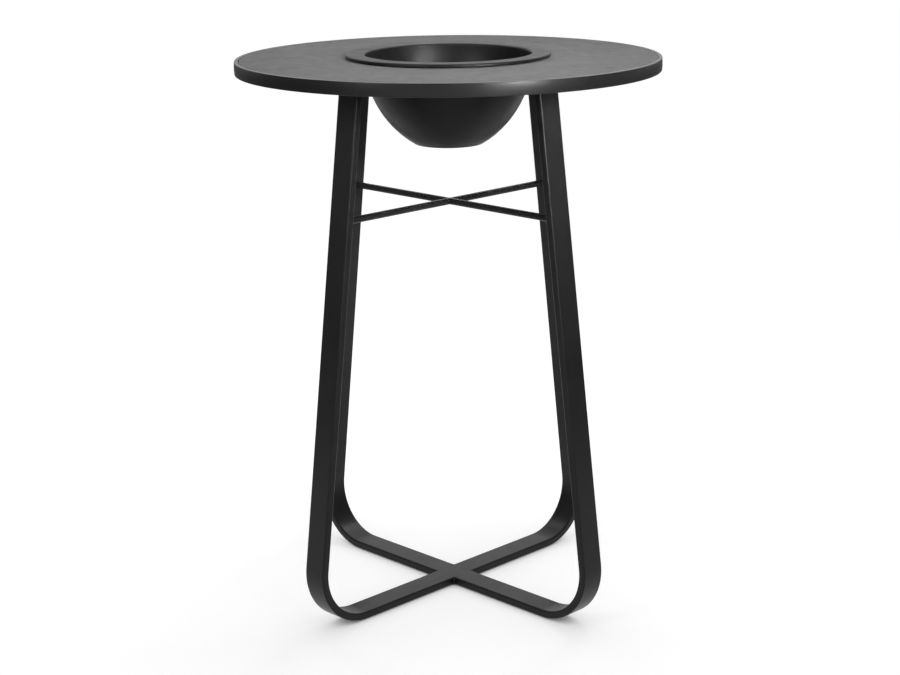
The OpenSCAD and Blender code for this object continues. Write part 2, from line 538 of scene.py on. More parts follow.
@dataclass(frozen=True)
class Finish:
    """A finish of the object's surfaces.

    Attributes:
        name: Name of its material.
        slot: The record's slot that it is for; not used.
    """

    name: str
    slot: Slot

    def material(self) -> bpy.types.Material:
        """Gives the material of the finish, made the first time that it is asked for.

        Returns:
            The material.
        """
        found = bpy.data.materials.get(self.name)
        if found is None:
            found = bpy.data.materials.new(self.name)
            sheet = NodeSheet(found)
            sheet.show(sheet.add("BsdfPrincipled", self.sockets(sheet)))
        return found

    def sockets(self, sheet: NodeSheet) -> dict[str, Value]:
        """Adds the nodes of the finish and gives what goes into the shader's sockets."""
        raise NotImplementedError


@dataclass(frozen=True)
class PowderCoat(Finish):
    """Fine matt powder coat on steel: slow changes of tone, uneven gloss and orange peel.

    Attributes:
        dark: Colour where the coat is darkest.
        light: Colour where the coat is lightest.
        rough: Lowest and highest roughness.
        gloss: Specular level of the shader.
        peel: Depth of the orange peel.
    """

    dark: Colour = (0.0080, 0.0080, 0.0082)
    light: Colour = (0.0110, 0.0110, 0.0112)
    rough: tuple[float, float] = (0.30, 0.37)
    gloss: float = 0.20
    peel: float = 0.06 * MM

    def sockets(self, sheet: NodeSheet) -> dict[str, Value]:
        """Adds the nodes of the finish.

        Args:
            sheet: Where the nodes go.

        Returns:
            What goes into the shader's sockets.
        """
        tone = sheet.levels(sheet.clouds(size=0.11, detail=3.0, warp=0.4), low=0, high=1)
        peel = sheet.clouds(size=2.4 * MM, detail=2.0)
        fine = sheet.clouds(size=0.5 * MM, detail=1.0)
        return {
            "Base Color": sheet.blend(tone, self.dark, self.light),
            "Roughness": sheet.levels(sheet.clouds(size=0.035, detail=4.0), *self.rough),
            "Specular IOR Level": self.gloss,
            "Normal": sheet.relief((peel, self.peel), (fine, self.peel / 6)),
        }


@dataclass(frozen=True)
class CeramicSlab(Finish):
    """Mottled matt ceramic: clouds of two sizes, faint warm patches, grain and a fine relief.

    Attributes:
        dark: Colour of the darkest clouds.
        light: Colour of the lightest clouds.
        warm: Tint of the faint warm patches.
        grain: Strength of the grain.
        rough: Lowest and highest roughness.
        gloss: Specular level of the shader.
        relief: Depth of the coarse relief and of the fine one.
    """

    dark: Colour = (0.092, 0.092, 0.093)
    light: Colour = (0.118, 0.118, 0.119)
    warm: Colour = (0.114, 0.109, 0.110)
    grain: float = 0.25
    rough: tuple[float, float] = (0.62, 0.72)
    gloss: float = 0.03
    relief: tuple[float, float] = (0.05 * MM, 0.012 * MM)

    def sockets(self, sheet: NodeSheet) -> dict[str, Value]:
        """Adds the nodes of the finish.

        Args:
            sheet: Where the nodes go.

        Returns:
            What goes into the shader's sockets.
        """
        wide = sheet.levels(sheet.clouds(size=0.16, detail=3.0, warp=0.8), 0, 1, start=0.32, end=0.68)
        small = sheet.levels(sheet.clouds(size=0.034, detail=4.0, warp=0.5), 0, 1, start=0.35, end=0.65)
        mixed = sheet.blend(wide, sheet.blend(small, self.dark, self.light), self.light)
        patches = sheet.levels(sheet.clouds(size=0.09, warp=0.3), low=0, high=0.6, start=0.5, end=0.7)
        tinted = sheet.blend(patches, mixed, self.warm)
        grains = sheet.levels(sheet.clouds(size=0.016), low=0.3, high=0.7)
        even = sheet.blend(grains, (0, 0, 0), (1, 1, 1))
        heights = sheet.clouds(size=3.5 * MM, detail=5.0), sheet.clouds(size=0.4 * MM, detail=2.0)
        return {
            "Base Color": sheet.blend(self.grain, tinted, even, "SOFT_LIGHT"),
            "Roughness": sheet.levels(sheet.clouds(size=0.02, detail=4.0), *self.rough),
            "Specular IOR Level": self.gloss,
            "Normal": sheet.relief(*zip(heights, self.relief)),
        }


@dataclass(frozen=True)
class MouldedPlastic(Finish):
    """Moulded rubber or nylon, with a faint bloom of dust and a fine grain.

    Attributes:
        tone: Its colour.
        rough: Lowest and highest roughness.
        gloss: Specular level of the shader.
        grain: Depth of its grain.
        bloom: How many times paler the bloom is, and what is added to it.
    """

    tone: Colour = (0.012, 0.012, 0.012)
    rough: tuple[float, float] = (0.62, 0.80)
    gloss: float = 0.3
    grain: float = 0.03 * MM
    bloom: tuple[float, float] = (2.2, 0.004)

    def sockets(self, sheet: NodeSheet) -> dict[str, Value]:
        """Adds the nodes of the finish.

        Args:
            sheet: Where the nodes go.

        Returns:
            What goes into the shader's sockets.
        """
        bloom = tuple(channel * self.bloom[0] + self.bloom[1] for channel in self.tone)
        share = sheet.levels(sheet.clouds(size=0.02, detail=4.0), low=0.0, high=0.5)
        return {
            "Base Color": sheet.blend(share, self.tone, bloom),
            "Roughness": sheet.levels(sheet.clouds(size=0.008, detail=3.0), *self.rough),
            "Specular IOR Level": self.gloss,
            "Normal": sheet.relief((sheet.clouds(size=0.7 * MM, detail=3.0), self.grain)),
        }


@dataclass(frozen=True)
class ZincPlate(Finish):
    """Cloudy zinc plate on turned steel, with fine tool marks.

    Attributes:
        dark: Colour in the marks.
        light: Colour of the bright metal.
        rough: Lowest and highest roughness.
        mark: Depth of the marks.
    """

    dark: Colour = (0.36, 0.37, 0.39)
    light: Colour = (0.58, 0.59, 0.61)
    rough: tuple[float, float] = (0.24, 0.42)
    mark: float = 0.01 * MM

    def sockets(self, sheet: NodeSheet) -> dict[str, Value]:
        """Adds the nodes of the finish.

        Args:
            sheet: Where the nodes go.

        Returns:
            What goes into the shader's sockets.
        """
        marks = sheet.clouds(size=0.6 * MM, detail=3.0, stretch=(1, 1, 6))
        tone = sheet.levels(sheet.clouds(size=3 * MM, detail=3.0), low=0, high=1)
        return {
            "Base Color": sheet.blend(tone, self.dark, self.light),
            "Roughness": sheet.levels(marks, *self.rough),
            "Metallic": 1.0,
            "Normal": sheet.relief((marks, self.mark)),
        }


FRAME_COAT = PowderCoat("frame_powder_coat", Slot.FRAME_COAT)
# The edge band is the same powder coat as the frame, so this darker copy of that coat is painted shade.
BAND_COAT_PAINTED_SHADE = PowderCoat(
    "band_powder_coat_painted_shade", Slot.FRAME_COAT,
    dark=(0.0050, 0.0050, 0.0051), light=(0.0070, 0.0070, 0.0071), rough=(0.30, 0.34), gloss=0.21,
)
# The bucket's coat is the frame's powder coat made darker: its lower tone is painted shade.
BUCKET_COAT = PowderCoat(
    "bucket_powder_coat_painted_shade", Slot.BUCKET_COAT,
    dark=(0.0042, 0.0042, 0.0043), light=(0.0060, 0.0060, 0.0061), rough=(0.38, 0.46), gloss=0.12,
    peel=0.04 * MM,
)
SLAB = CeramicSlab("mottled_ceramic", Slot.SLAB)
RUBBER = MouldedPlastic("black_rubber", Slot.RUBBER)
NYLON = MouldedPlastic(
    "black_nylon", Slot.GLIDE, tone=(0.016, 0.016, 0.016), rough=(0.42, 0.55), gloss=0.4, grain=0.015 * MM
)
ZINC = ZincPlate("zinc_plate", Slot.ZINC)


def dress(shape: Shape, name: str, finish: Finish, *nodes: str, body: Body = Body.TABLE) -> None:
    """Makes a piece of a shape, dresses it, hangs it on its body and hides the nodes that it stands for.

    Args:
        shape: The shape, which is used up.
        name: Name of the piece.
        finish: Its finish.
        nodes: Nodes of the construction model that it stands for.
        body: Body that it rides on.
    """
    made = shape.piece(name)
    made.data.materials.append(finish.material())
    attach(made, body.value)
    if nodes:
        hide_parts(*nodes)
    log.info("%s: %d faces, %s", name, len(made.data.polygons), finish.name)


# Bars


@dataclass(frozen=True)
class BarSection:
    """Section of a bar with rounded edges.

    Attributes:
        width: Width across the bar.
        thick: Thickness.
        edge: Radius of the edges.
        steps: Flats in each edge.
    """

    width: float
    thick: float
    edge: float
    steps: int = 5

    def outline(self) -> Outline:
        """Gives the section as points of width and depth from its outer face."""
        return rectangle((-self.width / 2, 0), (self.width / 2, self.thick), self.edge, self.steps)

    def lapped(self, offset: float, notch: Notch) -> Outline:
        """Gives the section inside a half-lap with a bar of its own size.

        The kept half meets the other bar's rounded edges in a mitre, so that the two faces run flush.

        Args:
            offset: Distance from the middle of the lap.
            notch: Side that is cut away.

        Returns:
            As many points as the plain outline has.
        """
        into = max(0.0, offset - (self.width / 2 - self.edge))
        fall = self.edge - math.sqrt(max(0.0, self.edge ** 2 - into ** 2))
        points: Outline = []
        for point in self.outline():
            depth = point.y if notch is Notch.ABOVE else self.thick - point.y
            if depth > self.thick / 2:
                depth = self.thick / 2
            elif depth < self.edge:
                depth = min(depth, fall)
            points.append(Vector((point.x, depth if notch is Notch.ABOVE else self.thick - depth)))
        return points

    @staticmethod
    def ring(outline: Outline, along: float, level: float) -> Ring:
        """Puts an outline on a level bar along X, whose lower face is at a level."""
        return [Vector((along, point.x, level + point.y)) for point in outline]

    def lap_rings(self, notch: Notch, level: float) -> list[Ring]:
        """Makes the rings of a level bar through the half-lap in its middle.

        Args:
            notch: Side that is cut away.
            level: Height of the bar's lower face.

        Returns:
            The rings, from +X to -X.
        """
        core = self.width / 2 - self.edge
        angles = [math.pi / 2 * step / self.steps for step in range(self.steps + 1)]
        offsets = [core + self.edge * math.cos(angle) for angle in angles]
        half = [(self.width / 2, self.outline())]
        half += [(offset, self.lapped(offset, notch)) for offset in offsets]
        other = [(-along, outline) for along, outline in reversed(half)]
        return [self.ring(outline, along, level) for along, outline in half + other]


@dataclass
class LegFrames:
    """Two U-shaped frames of flat bar that cross flush at the floor.

    Attributes:
        section: Section of the flat bar.
        top_span: Outside span at the tops of the legs.
        bend_radius: Outside radius of the bends.
        bend_steps: Flats in each bend.
        fillet: Upright weld beads at the crossing.
        fillet_top: Distance of the top of those beads below the bars' upper face.
        fillet_foot: Distance of their feet above the bars' lower face.
        plate_edge: Radius of the leg plates' edges.
        plate_corner: Radius of the leg plates' corners.
        hole: Radius of the holes in the leg plates.
        seam: Weld beads under the leg plates.
        room: Box of the frame that runs along X.
    """

    section: BarSection = BarSection(width=0.050, thick=0.015, edge=0.0031)
    top_span: float = 0.505
    bend_radius: float = 0.110
    bend_steps: int = 40
    fillet: Weld = Weld(radius=0.0036, step=0.3 * MM, off=0.28)
    fillet_top: float = 0.0012
    fillet_foot: float = 0.0005
    plate_edge: float = 0.0006
    plate_corner: float = 0.003
    hole: float = 0.0033
    seam: Weld = Weld(radius=0.0024, step=0.35 * MM, off=0.3)
    room: Room = field(default_factory=lambda: Room.of("leg_frame_x"))

    @property
    def bend_middle(self) -> Vector:
        """Middle of the bend on the +X side, as X and Z."""
        return Vector((self.room.high.x - self.bend_radius, self.room.low.z + self.bend_radius))

    @property
    def lean(self) -> float:
        """Angle of a leg off upright, in radians."""
        to_top = Vector((self.top_span / 2, self.room.high.z)) - self.bend_middle
        return math.atan2(to_top.y, to_top.x) - math.acos(self.bend_radius / to_top.length)

    def inner_face(self, level: float) -> float:
        """Gives how far the inner face of a leg is from the middle of the table.

        Args:
            level: Height above the floor, above the bend.

        Returns:
            The distance along X.
        """
        middle = self.bend_middle
        reach = (self.bend_radius - self.section.thick) / math.cos(self.lean)
        return middle.x + reach - (level - middle.y) * math.tan(self.lean)

    def side_rings(self) -> list[Ring]:
        """Makes the rings of the leg and the bend on the +X side.

        Returns:
            The rings, from the top down.
        """
        lean, middle = self.lean, self.bend_middle
        arms = [(point.x, self.bend_radius - point.y) for point in self.section.outline()]
        rings = []
        for step in range(self.bend_steps + 1):
            angle = lean - (lean + math.pi / 2) * step / self.bend_steps
            cos, sin = math.cos(angle), math.sin(angle)
            rings.append([Vector((middle.x + arm * cos, side, middle.y + arm * sin)) for side, arm in arms])
        up = Vector((-math.tan(lean), 0, 1))
        top = [point + up * (self.room.high.z - point.z) for point in rings[0]]
        return [top, *rings]

    def bar(self, notch: Notch, place: Matrix) -> Shape:
        """Makes one bent bar.

        Args:
            notch: Side that its half-lap is cut from.
            place: Turns the bar about the middle of the table.

        Returns:
            Its shape.
        """
        side = self.side_rings()
        other = [[Vector((-point.x, point.y, point.z)) for point in ring] for ring in reversed(side)]
        made = Shape()
        made.skin([*side, *self.section.lap_rings(notch, self.room.low.z), *other], place=place)
        return made

    def crossing(self) -> Shape:
        """Makes the upright weld beads in the four corners of the crossing.

        Returns:
            Their shape.
        """
        made = Shape()
        corner = self.section.width / 2 + self.fillet.shift
        low = self.room.low.z
        ends = [Vector((corner, corner, low + self.fillet_foot)),
                Vector((corner, corner, low + self.section.thick - self.fillet_top))]
        for index, place in enumerate(QUARTERS.values()):
            made.skin(self.fillet.rings(self.fillet.line(*ends), index), place=place)
        return made

    def seams(self) -> Shape:
        """Makes the weld beads along the wide faces of the legs, under the leg plates.

        Returns:
            Their shape.
        """
        made = Shape()
        reach = self.section.width / 2 - self.seam.radius
        level = self.room.high.z - self.seam.shift
        for index, place in enumerate(QUARTERS.values()):
            for side, along in enumerate((self.inner_face(level), self.top_span / 2)):
                ends = [Vector((along, reach * sign, level)) for sign in (-1, 1)]
                made.skin(self.seam.rings(self.seam.line(*ends), index * 2 + side), place=place)
        return made

    def build(self) -> None:
        """Makes and dresses the frames, their plates and their welds."""
        for axis, notch, turn in LAPPED_PAIR:
            dress(self.bar(notch, turn), f"coated_leg_frame_{axis}", FRAME_COAT, f"leg_frame_{axis}")
        dress(self.crossing(), "crossing_weld_beads", FRAME_COAT, "crossing_welds")
        room = Room.of("leg_plate_px")
        outline = rectangle(room.low, room.high, self.plate_corner)
        for side, turn in QUARTERS.items():
            plate = Shape.plate(outline, room, self.plate_edge, screw_lines(), self.hole, turn)
            dress(plate, f"coated_leg_plate_{side}", FRAME_COAT, f"leg_plate_{side}")
        dress(self.seams(), "leg_plate_weld_beads", FRAME_COAT)


@dataclass
class Braces:
    """Two square bars between opposite legs, half-lapped where they cross.

    Attributes:
        legs: The frames that they join.
        edge: Radius of the bars' edges.
        edge_steps: Flats in each edge.
        seam: Weld beads at their ends.
    """

    legs: LegFrames
    edge: float = 0.0042
    edge_steps: int = 4
    seam: Weld = Weld(radius=0.0011, step=0.3 * MM)

    def bar(self, room: Room, notch: Notch, place: Matrix) -> Shape:
        """Makes one brace, its ends cut to the lean of the legs.

        Args:
            room: Box of the brace that runs along X.
            notch: Side that its half-lap is cut from.
            place: Turns the brace about the middle of the table.

        Returns:
            Its shape.
        """
        side = room.high.z - room.low.z
        section = BarSection(side, side, self.edge, self.edge_steps)

        def end(sign: int) -> Ring:
            """Cuts the end of the brace on one side to the leg's face."""
            points = section.ring(section.outline(), 0.0, room.low.z)
            return [Vector((sign * self.legs.inner_face(point.z), point.y, point.z)) for point in points]

        made = Shape()
        made.skin([end(1), *section.lap_rings(notch, room.low.z), end(-1)], place=place)
        for sign in (-1, 1):
            for level in (room.low.z, room.high.z):
                along = sign * self.legs.inner_face(level)
                ends = [Vector((along, half * (side / 2 - self.edge), level)) for half in (-1, 1)]
                made.skin(self.seam.rings(self.seam.line(*ends), sign), place=place)
        return made

    def build(self) -> None:
        """Makes and dresses the two braces."""
        room = Room.of("brace_x")
        for axis, notch, turn in LAPPED_PAIR:
            dress(self.bar(room, notch, turn), f"coated_brace_{axis}", FRAME_COAT, f"brace_{axis}")


@dataclass
class Glides:
    """Push-in glides under the floor bars.

    Attributes:
        chamfer: Chamfer of the lower edge.
        chamfer_round: Radius of the chamfer's two edges.
        shoulder: Radius of the head's upper edge.
        thick: Thickness of the head.
        stem: Radius of the stem.
        stem_end: Radius of the stem's upper edge.
        stem_bare: Length of the stem above its barbs.
        barb: How far the barbs of the stem stand out.
        barbs: Barbs on each stem.
        barb_shares: Where a barb starts and how long it is, as shares of the distance between them.
        segments: Flats round a glide.
    """

    chamfer: float = 0.0007
    chamfer_round: float = 0.3 * MM
    shoulder: float = 0.4 * MM
    thick: float = 0.0025
    stem: float = 0.0037
    stem_end: float = 0.6 * MM
    stem_bare: float = 0.001
    barb: float = 0.0003
    barbs: int = 3
    barb_shares: tuple[float, float] = (0.5, 0.45)
    segments: int = 64

    def outline(self, room: Room) -> Outline:
        """Draws half the section of a glide.

        Args:
            room: Box of the glide on the +X side.

        Returns:
            Points of radius and height.
        """
        reach, low = (room.high.x - room.low.x) / 2, room.low.z
        corners = [
            Corner(0, low), Corner(reach - self.chamfer, low, self.chamfer_round, SMALL_ROUND),
            Corner(reach, low + self.chamfer, self.chamfer_round, SMALL_ROUND),
            Corner(reach, self.thick, self.shoulder, SMALL_ROUND), Corner(self.stem, self.thick),
        ]
        pitch = (room.high.z - self.thick - self.stem_bare) / self.barbs
        start, length = self.barb_shares
        for index in range(self.barbs):
            level = self.thick + pitch * (index + start)
            corners += [Corner(self.stem, level), Corner(self.stem + self.barb, level),
                        Corner(self.stem, level + pitch * length)]
        corners += [Corner(self.stem, room.high.z, self.stem_end, SMALL_ROUND), Corner(0, room.high.z)]
        return rounded(corners)

    def build(self) -> None:
        """Makes and dresses the four glides."""
        room = Room.of("glide_px")
        out = Matrix.Translation((room.middle.x, 0, 0))
        for side, turn in QUARTERS.items():
            made = Shape.lathed(self.outline(room), self.segments, [turn @ out])
            dress(made, f"nylon_glide_{side}", NYLON, f"glide_{side}")


@dataclass
class TableTop:
    """The slab, its pads and the edge band.

    Attributes:
        cutout: Radius of the cut-out.
        slab_edge: Radius of the slab's upper edges.
        under_edge: Radius of the slab's lower edges and of the band's.
        band_thick: Thickness of the band.
        band_edge: Radius of the band's outer edges.
        band_crown: How far the band's outer face falls back at its edges.
        crown_steps: Flats in half of that face.
        groove_edge: Radius of the edges on both sides of the groove.
        segments: Flats round the top.
        pad_rows: Number of pads in each row, and the row's radius.
        pad_radius: Radius of a pad.
        pad_bulge: How far a pad is pressed out.
        pad_segments: Flats round a pad.
    """

    cutout: float = 0.162
    slab_edge: float = 0.0008
    under_edge: float = 0.0006
    band_thick: float = 0.008
    band_edge: float = 0.0012
    band_crown: float = 0.0006
    crown_steps: int = 5
    groove_edge: float = 0.0007
    segments: int = 360
    pad_rows: tuple[tuple[int, float], ...] = ((12, 0.3735), (8, 0.177))
    pad_radius: float = 0.0100
    pad_bulge: float = 0.4 * MM
    pad_segments: int = 32

    def slab(self) -> Shape:
        """Makes the slab with its cut-out.

        Returns:
            Its shape.
        """
        room = Room.of("panel")
        low, high = room.low.z, room.high.z
        return Shape.lathed(rounded([
            Corner(self.cutout, high, self.slab_edge), Corner(self.cutout, low, self.under_edge, SMALL_ROUND),
            Corner(room.radius, low, self.under_edge, SMALL_ROUND),
            Corner(room.radius, high, self.groove_edge),
        ]), self.segments)

    def band(self) -> Shape:
        """Makes the rolled edge band, its outer face a little crowned.

        Returns:
            Its shape.
        """
        room = Room.of("rim_band")
        low, high = room.low.z, room.high.z
        inside, outside = room.radius - self.band_thick, room.radius - self.band_crown
        half = (high - low) / 2
        shares = [step / self.crown_steps for step in range(1 - self.crown_steps, self.crown_steps)]
        face = [Corner(room.radius - self.band_crown * share ** 2, room.middle.z + half * share)
                for share in shares]
        return Shape.lathed(rounded([
            Corner(inside, high, self.groove_edge), Corner(inside, low, self.under_edge, SMALL_ROUND),
            Corner(outside, low, self.band_edge), *face, Corner(outside, high, self.band_edge),
        ]), self.segments)

    def pads(self) -> Shape:
        """Makes the bonded pads, their sides pressed out a little.

        Returns:
            Their shape.
        """
        room = Room.of("panel_pads")
        half, core = (room.high.z - room.low.z) / 2, self.pad_radius - self.pad_bulge
        angles = [math.pi * (step / WIDE_ROUND - 0.5) for step in range(WIDE_ROUND + 1)]
        side = [Vector((core + self.pad_bulge * math.cos(angle), room.middle.z + half * math.sin(angle)))
                for angle in angles]
        outline = [Vector((0, room.low.z)), *side, Vector((0, room.high.z))]
        places = []
        for count, radius in self.pad_rows:
            out = Matrix.Translation((radius, 0, 0))
            turns = [math.tau * (index + 0.5) / count for index in range(count)]
            places += [Matrix.Rotation(turn, 4, "Z") @ out for turn in turns]
        return Shape.lathed(outline, self.pad_segments, places)

    def build(self) -> None:
        """Makes and dresses the slab, its pads and the band."""
        dress(self.slab(), "ceramic_panel", SLAB, "panel")
        dress(self.band(), "coated_edge_band", BAND_COAT_PAINTED_SHADE, "rim_band")
        dress(self.pads(), "bonded_pads", RUBBER, "panel_pads")


@dataclass
class Carrier:
    """The welded rings and spokes that carry the slab.

    Attributes:
        ledge_inside: Inner radius of the ledge ring.
        ledge_segments: Flats round the ledge ring.
        collar_inside: Inner radius of the collar ring.
        collar_segments: Flats round the collar ring.
        gap: Gap that the welds close.
        edge: Radius of the edges.
        spoke_width: Width of a spoke.
        spoke_steps: Flats across each end of a spoke.
        screw_hole: Radius of the tapped holes.
        seam: Weld beads across the ends of the spokes.
        stitch: Weld beads between the ledge ring and the band.
        stitches: Number of those.
        stitch_length: Length of each of them.
    """

    ledge_inside: float = 0.356
    ledge_segments: int = 240
    collar_inside: float = 0.162
    collar_segments: int = 192
    gap: float = 0.0003
    edge: float = 0.0005
    spoke_width: float = 0.050
    spoke_steps: int = 10
    screw_hole: float = 0.0031
    seam: Weld = Weld(radius=0.0022, step=0.4 * MM, off=0.35)
    stitch: Weld = Weld(radius=0.0022, step=0.4 * MM, off=0.3)
    stitches: int = 12
    stitch_length: float = 0.032

    def spoke_outline(self) -> Outline:
        """Draws a spoke from above, its ends cut to the curves of the rings.

        Returns:
            Points that run anticlockwise.
        """
        start, end = Room.of("collar_ring").radius + self.gap, self.ledge_inside - self.gap
        half_start, half_end = (math.asin(self.spoke_width / 2 / radius) for radius in (start, end))
        return [*arc_points(end, -half_end, half_end, self.spoke_steps),
                *arc_points(start, half_start, -half_start, self.spoke_steps)]

    def seams(self) -> Shape:
        """Makes the weld beads between the spokes, the rings and the band.

        Returns:
            Their shape.
        """
        made = Shape()
        spoke_seeds, stitch_seeds = 10, 100
        level = Room.of("spoke_px").low.z
        length = self.spoke_width - 2 * self.seam.radius
        for index in range(len(QUARTERS)):
            for number, radius in enumerate((Room.of("collar_ring").radius, self.ledge_inside)):
                path = self.seam.arc(radius, level + self.seam.shift, math.pi / 2 * index, length)
                made.skin(self.seam.rings(path, spoke_seeds * index + number))
        corner = Room.of("ledge_ring").radius - self.stitch.shift
        for index in range(self.stitches):
            middle = math.tau * (index + 0.5) / self.stitches
            path = self.stitch.arc(corner, level - self.stitch.shift, middle, self.stitch_length)
            made.skin(self.stitch.rings(path, stitch_seeds + index))
        return made

    def build(self) -> None:
        """Makes and dresses the rings, the spokes and their welds."""
        for node, inside, segments in (("ledge_ring", self.ledge_inside, self.ledge_segments),
                                       ("collar_ring", self.collar_inside, self.collar_segments)):
            room = Room.of(node)
            outline = rectangle((inside, room.low.z), (room.radius, room.high.z), self.edge, SMALL_ROUND)
            dress(Shape.lathed(outline, segments), f"coated_{node}", FRAME_COAT, node)
        room, outline = Room.of("spoke_px"), self.spoke_outline()
        for side, turn in QUARTERS.items():
            spoke = Shape.plate(outline, room, self.edge, screw_lines(), self.screw_hole, turn)
            dress(spoke, f"coated_spoke_{side}", FRAME_COAT, f"spoke_{side}")
        dress(self.seams(), "carrier_weld_beads", FRAME_COAT)


@dataclass
class Fasteners:
    """Button-head screws and washers that hold the leg plates.

    Attributes:
        shank: Radius of a screw.
        tip: Chamfer at the end of the shank.
        head: Radius of a head.
        head_edge: How far the flat of a head ends inside its edge.
        head_high: Height of a head.
        head_steps: Flats from the edge of a head to its rim round the socket.
        socket: Half the width of the hexagon socket across its flats.
        socket_deep: Depth of the socket.
        socket_rim: Width of the rim round its corners.
        socket_wear: How much wider the socket is at its mouth.
        socket_mouth: Depths between which it narrows to its width.
        socket_point: Radius and depth of the drill point in its floor.
        bore: Inner radius of a washer.
        washer_edge: Radius of a washer's edges.
        sides: Flats round a screw.
    """

    shank: float = 0.003
    tip: float = 0.4 * MM
    head: float = 0.00525
    head_edge: float = 0.1 * MM
    head_high: float = 0.0033
    head_steps: int = 8
    socket: float = 0.002
    socket_deep: float = 0.002
    socket_rim: float = 0.45 * MM
    socket_wear: float = 0.15 * MM
    socket_mouth: tuple[float, float] = (0.1 * MM, 0.35 * MM)
    socket_point: tuple[float, float] = (0.2 * MM, 0.5 * MM)
    bore: float = 0.0031
    washer_edge: float = 0.25 * MM
    sides: int = 48

    def places(self) -> list[Matrix]:
        """Gives where the screws stand."""
        outs = [Matrix.Translation((along, 0, 0)) for along in screw_lines()]
        return [turn @ out for turn in QUARTERS.values() for out in outs]

    def level_ring(self, radius: float, level: float, hexagon: bool = False) -> Ring:
        """Makes a level ring about the axis of a screw.

        Args:
            radius: Radius, or half the width across the flats of a hexagon.
            level: Height of the ring.
            hexagon: Makes the ring a hexagon.

        Returns:
            Its points.
        """
        ring = []
        for k in range(self.sides):
            angle = math.tau * k / self.sides
            off_flat = (angle % (math.pi / 3)) - math.pi / 6
            reach = radius / math.cos(off_flat) if hexagon else radius
            ring.append(Vector((reach * math.cos(angle), reach * math.sin(angle), level)))
        return ring

    def screws(self) -> Shape:
        """Makes the eight screws.

        Returns:
            Their shape.
        """
        top, seat = Room.of("leg_screws").high.z, Room.of("leg_washers").low.z
        bottom = seat - self.head_high
        floor = bottom + self.socket_deep
        dome = (self.head ** 2 + self.head_high ** 2) / (2 * self.head_high)
        rim = self.socket / math.cos(math.pi / 6) + self.socket_rim
        steps = range(self.head_steps + 1)
        reaches = [self.head + (rim - self.head) * step / self.head_steps for step in steps]
        outside = [
            (self.shank - self.tip, top), (self.shank, top - self.tip), (self.shank, seat),
            (self.head - self.head_edge, seat),
            *((reach, bottom + dome - math.sqrt(dome ** 2 - reach ** 2)) for reach in reaches),
        ]
        socket, (mouth, neck), (point, point_deep) = self.socket, self.socket_mouth, self.socket_point
        inside = [(socket + self.socket_wear, bottom + mouth), (socket, bottom + neck), (socket, floor)]
        rings = [self.level_ring(*place) for place in outside]
        rings += [self.level_ring(*place, hexagon=True) for place in inside]
        rings.append(self.level_ring(point, floor + point_deep))
        made = Shape()
        for place in self.places():
            made.skin(rings, place=place)
        return made

    def washers(self) -> Shape:
        """Makes the eight washers.

        Returns:
            Their shape.
        """
        room = Room.of("leg_washers")
        outside = room.high.x - Room.of("leg_plate_px").middle.x - SCREW_PITCH / 2
        outline = rectangle((self.bore, room.low.z), (outside, room.high.z), self.washer_edge, SMALL_ROUND)
        return Shape.lathed(outline, self.sides, self.places())

    def build(self) -> None:
        """Makes and dresses the screws and the washers."""
        dress(self.screws(), "zinc_leg_screws", ZINC, "leg_screws")
        dress(self.washers(), "zinc_leg_washers", ZINC, "leg_washers")


